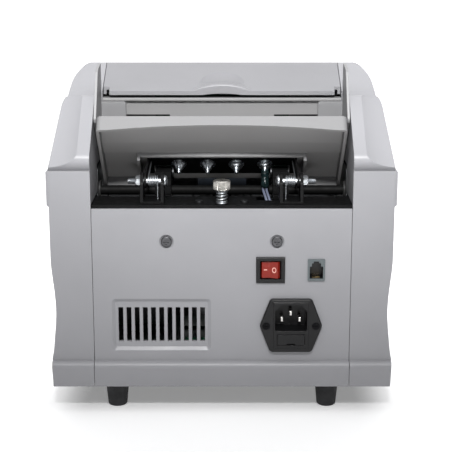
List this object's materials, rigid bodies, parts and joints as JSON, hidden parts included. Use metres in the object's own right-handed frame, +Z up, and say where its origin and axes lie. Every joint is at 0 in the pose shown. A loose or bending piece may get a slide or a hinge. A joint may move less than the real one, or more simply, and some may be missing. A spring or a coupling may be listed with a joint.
{
  "type": "banknote counting machine",
  "caption": "Desktop banknote counter with a sloping rear hopper tray, sliding side guides, hinged top cover with keys, front stacker pocket and a rear connector panel.",
  "frame": {"origin": "on the table under the middle of the machine", "axes": "+Z up, +Y towards the connector side, -Y towards the operator and the stacker pocket, +X to the operator's right"},
  "size_m": [0.2766, 0.25, 0.2759],
  "materials": {
    "casing_plastic": "fine-textured moulded ABS, satin",
    "cover_plastic": "fine-textured moulded ABS, satin",
    "tray_plastic": "fine-textured moulded ABS, satin",
    "guide_plastic": "fine-textured moulded ABS, satin",
    "black_sheet": "black powder coat",
    "steel_sheet": "zinc-plated sheet",
    "bright_steel": "ground and plated",
    "zinc_plate": "bright zinc",
    "nickel": "satin nickel",
    "dark_fastener": "black oxide",
    "black_oxide_shaft": "black oxide",
    "foot_rubber": "matt moulded rubber",
    "roller_rubber": "ground rubber",
    "roller_blue": "ground polyurethane",
    "black_plastic": "semi-gloss moulded",
    "jack_plastic": "semi-matt moulded",
    "rocker_red": "translucent gloss",
    "brass": "plated brass",
    "pin_nickel": "nickel-plated brass",
    "impeller_plastic": "flexible moulded",
    "white_plastic": "moulded acetal",
    "belt_rubber": "moulded belt",
    "wire_insulation": "vinyl insulation",
    "heat_shrink": "shrunk polyolefin",
    "circuit_board": "solder mask",
    "motor_paint": "enamel",
    "transformer_core": "varnished laminations",
    "glass_tube": "clear",
    "display_window": "dark tinted acrylic",
    "key_plastic": "soft-touch moulded",
    "spring_steel": "bright spring wire"
  },
  "bodies": {
    "housing": {"base_plate": "steel_sheet", "right_side_cover": "casing_plastic", "left_side_cover": "casing_plastic", "rear_panel": "casing_plastic", "rear_panel_screws": "dark_fastener", "rubber_feet": "foot_rubber", "casing_screws": "dark_fastener", "stacker_tray": "casing_plastic", "stacker_back_plate": "guide_plastic", "left_frame_plate": "steel_sheet", "right_frame_plate": "steel_sheet", "frame_tie_rods": "bright_steel", "hopper_base_plate": "black_sheet", "carriage_guide_posts": "bright_steel", "hopper_front_beam": "tray_plastic", "hinge_brackets": "black_sheet", "hinge_bolts": "zinc_plate", "right_torsion_spring": "spring_steel", "left_torsion_spring": "spring_steel", "ground_lead": "wire_insulation", "gap_spring": "spring_steel", "shaft_bearings": "white_plastic", "main_motor": "motor_paint", "drive_belts": "belt_rubber", "transformer": "transformer_core", "main_board": "circuit_board", "switch_housing": "black_plastic", "mains_inlet": "black_plastic", "inlet_pins": "pin_nickel", "inlet_screws": "dark_fastener", "display_jack": "jack_plastic", "jack_contacts": "brass"},
    "hopper_tray": {"hopper_tray": "tray_plastic", "tray_bracket": "black_sheet", "bracket_bolts": "zinc_plate", "ground_lug": "heat_shrink"},
    "right_guide": {"right_note_guide": "guide_plastic"},
    "left_guide": {"left_note_guide": "guide_plastic"},
    "gap_carriage": {"retard_carriage": "black_sheet", "retard_rollers": "roller_rubber"},
    "gap_screw": {"gap_screw": "nickel"},
    "pickup_drive": {"pickup_shaft": "black_oxide_shaft", "pickup_rollers": "roller_rubber"},
    "feed_drive": {"feed_shaft": "bright_steel", "feed_rollers": "roller_blue", "encoder_disc": "black_plastic"},
    "stacker_drive": {"stacker_shaft": "bright_steel", "impeller_wheels": "impeller_plastic"},
    "motor_rotor": {"motor_pulley": "bright_steel"},
    "power_rocker": {"power_rocker": "rocker_red"},
    "fuse_drawer": {"fuse_drawer": "black_plastic", "fuse": "glass_tube"},
    "top_cover": {"top_cover": "cover_plastic", "display_window": "display_window", "display_board": "circuit_board"},
    "key_start": {"key_start": "key_plastic"},
    "key_function": {"key_function": "key_plastic"},
    "key_add": {"key_add": "key_plastic"},
    "key_batch": {"key_batch": "key_plastic"},
    "key_clear": {"key_clear": "key_plastic"}
  },
  "joints": [
    {"name": "tray_tilt", "type": "hinge", "parent": "housing", "child": "hopper_tray", "pos_m": [0, 0.099, 0.188], "axis": [-1, 0, 0], "range_deg": [0, 30], "stiffness_Nm_per_rad": 0.15, "springref_deg": -40.11, "deforming": ["left_torsion_spring", "right_torsion_spring", "ground_lead"]},
    {"name": "right_guide_slide", "type": "slide", "parent": "housing", "child": "right_guide", "axis": [1, 0, 0], "range_m": [-0.03, 0]},
    {"name": "left_guide_slide", "type": "slide", "parent": "housing", "child": "left_guide", "axis": [-1, 0, 0], "range_m": [-0.03, 0]},
    {"name": "gap_adjust", "type": "slide", "parent": "housing", "child": "gap_carriage", "axis": [0, 0, 1], "range_m": [-0.0008, 0.0008], "deforming": ["gap_spring"]},
    {"name": "gap_screw_turn", "type": "hinge", "parent": "gap_carriage", "child": "gap_screw", "pos_m": [0, 0.111, 0.187], "axis": [0, 0, 1], "range_deg": [-360, 360]},
    {"name": "feed_spin", "type": "hinge", "parent": "housing", "child": "feed_drive", "pos_m": [0, 0.0024, 0.1764], "axis": [1, 0, 0], "continuous": true},
    {"name": "pickup_spin", "type": "hinge", "parent": "housing", "child": "pickup_drive", "pos_m": [0, 0.04843, 0.17015], "axis": [1, 0, 0], "continuous": true},
    {"name": "stacker_spin", "type": "hinge", "parent": "housing", "child": "stacker_drive", "pos_m": [0, -0.04, 0.086], "axis": [1, 0, 0], "continuous": true},
    {"name": "motor_spin", "type": "hinge", "parent": "housing", "child": "motor_rotor", "pos_m": [0.1, 0.062, 0.084], "axis": [1, 0, 0], "continuous": true},
    {"name": "power_switch", "type": "hinge", "parent": "housing", "child": "power_rocker", "pos_m": [-0.039, 0.1172, 0.12], "axis": [0, 0, 1], "range_deg": [0, 20]},
    {"name": "fuse_drawer_pull", "type": "slide", "parent": "housing", "child": "fuse_drawer", "axis": [0, 1, 0], "range_m": [0, 0.022]},
    {"name": "cover_open", "type": "hinge", "parent": "housing", "child": "top_cover", "pos_m": [0, -0.091, 0.1485], "axis": [1, 0, 0], "range_deg": [0, 75]},
    {"name": "key_start_press", "type": "slide", "parent": "top_cover", "child": "key_start", "axis": [0, 0.8168, -0.5769], "range_m": [0, 0.001], "stiffness_N_per_m": 400, "springref_m": -0.001},
    {"name": "key_function_press", "type": "slide", "parent": "top_cover", "child": "key_function", "axis": [0, 0.8168, -0.5769], "range_m": [0, 0.001], "stiffness_N_per_m": 400, "springref_m": -0.001},
    {"name": "key_add_press", "type": "slide", "parent": "top_cover", "child": "key_add", "axis": [0, 0.8168, -0.5769], "range_m": [0, 0.001], "stiffness_N_per_m": 400, "springref_m": -0.001},
    {"name": "key_batch_press", "type": "slide", "parent": "top_cover", "child": "key_batch", "axis": [0, 0.8168, -0.5769], "range_m": [0, 0.001], "stiffness_N_per_m": 400, "springref_m": -0.001},
    {"name": "key_clear_press", "type": "slide", "parent": "top_cover", "child": "key_clear", "axis": [0, 0.8168, -0.5769], "range_m": [0, 0.001], "stiffness_N_per_m": 400, "springref_m": -0.001}
  ],
  "couplings": [
    {"joint": "gap_screw_turn", "follows": "gap_adjust", "rad_per_m": 7854},
    {"joint": "motor_spin", "follows": "feed_spin", "ratio": 1.625},
    {"joint": "pickup_spin", "follows": "feed_spin", "ratio": 1.2222},
    {"joint": "stacker_spin", "follows": "feed_spin", "ratio": 0.8125}
  ]
}
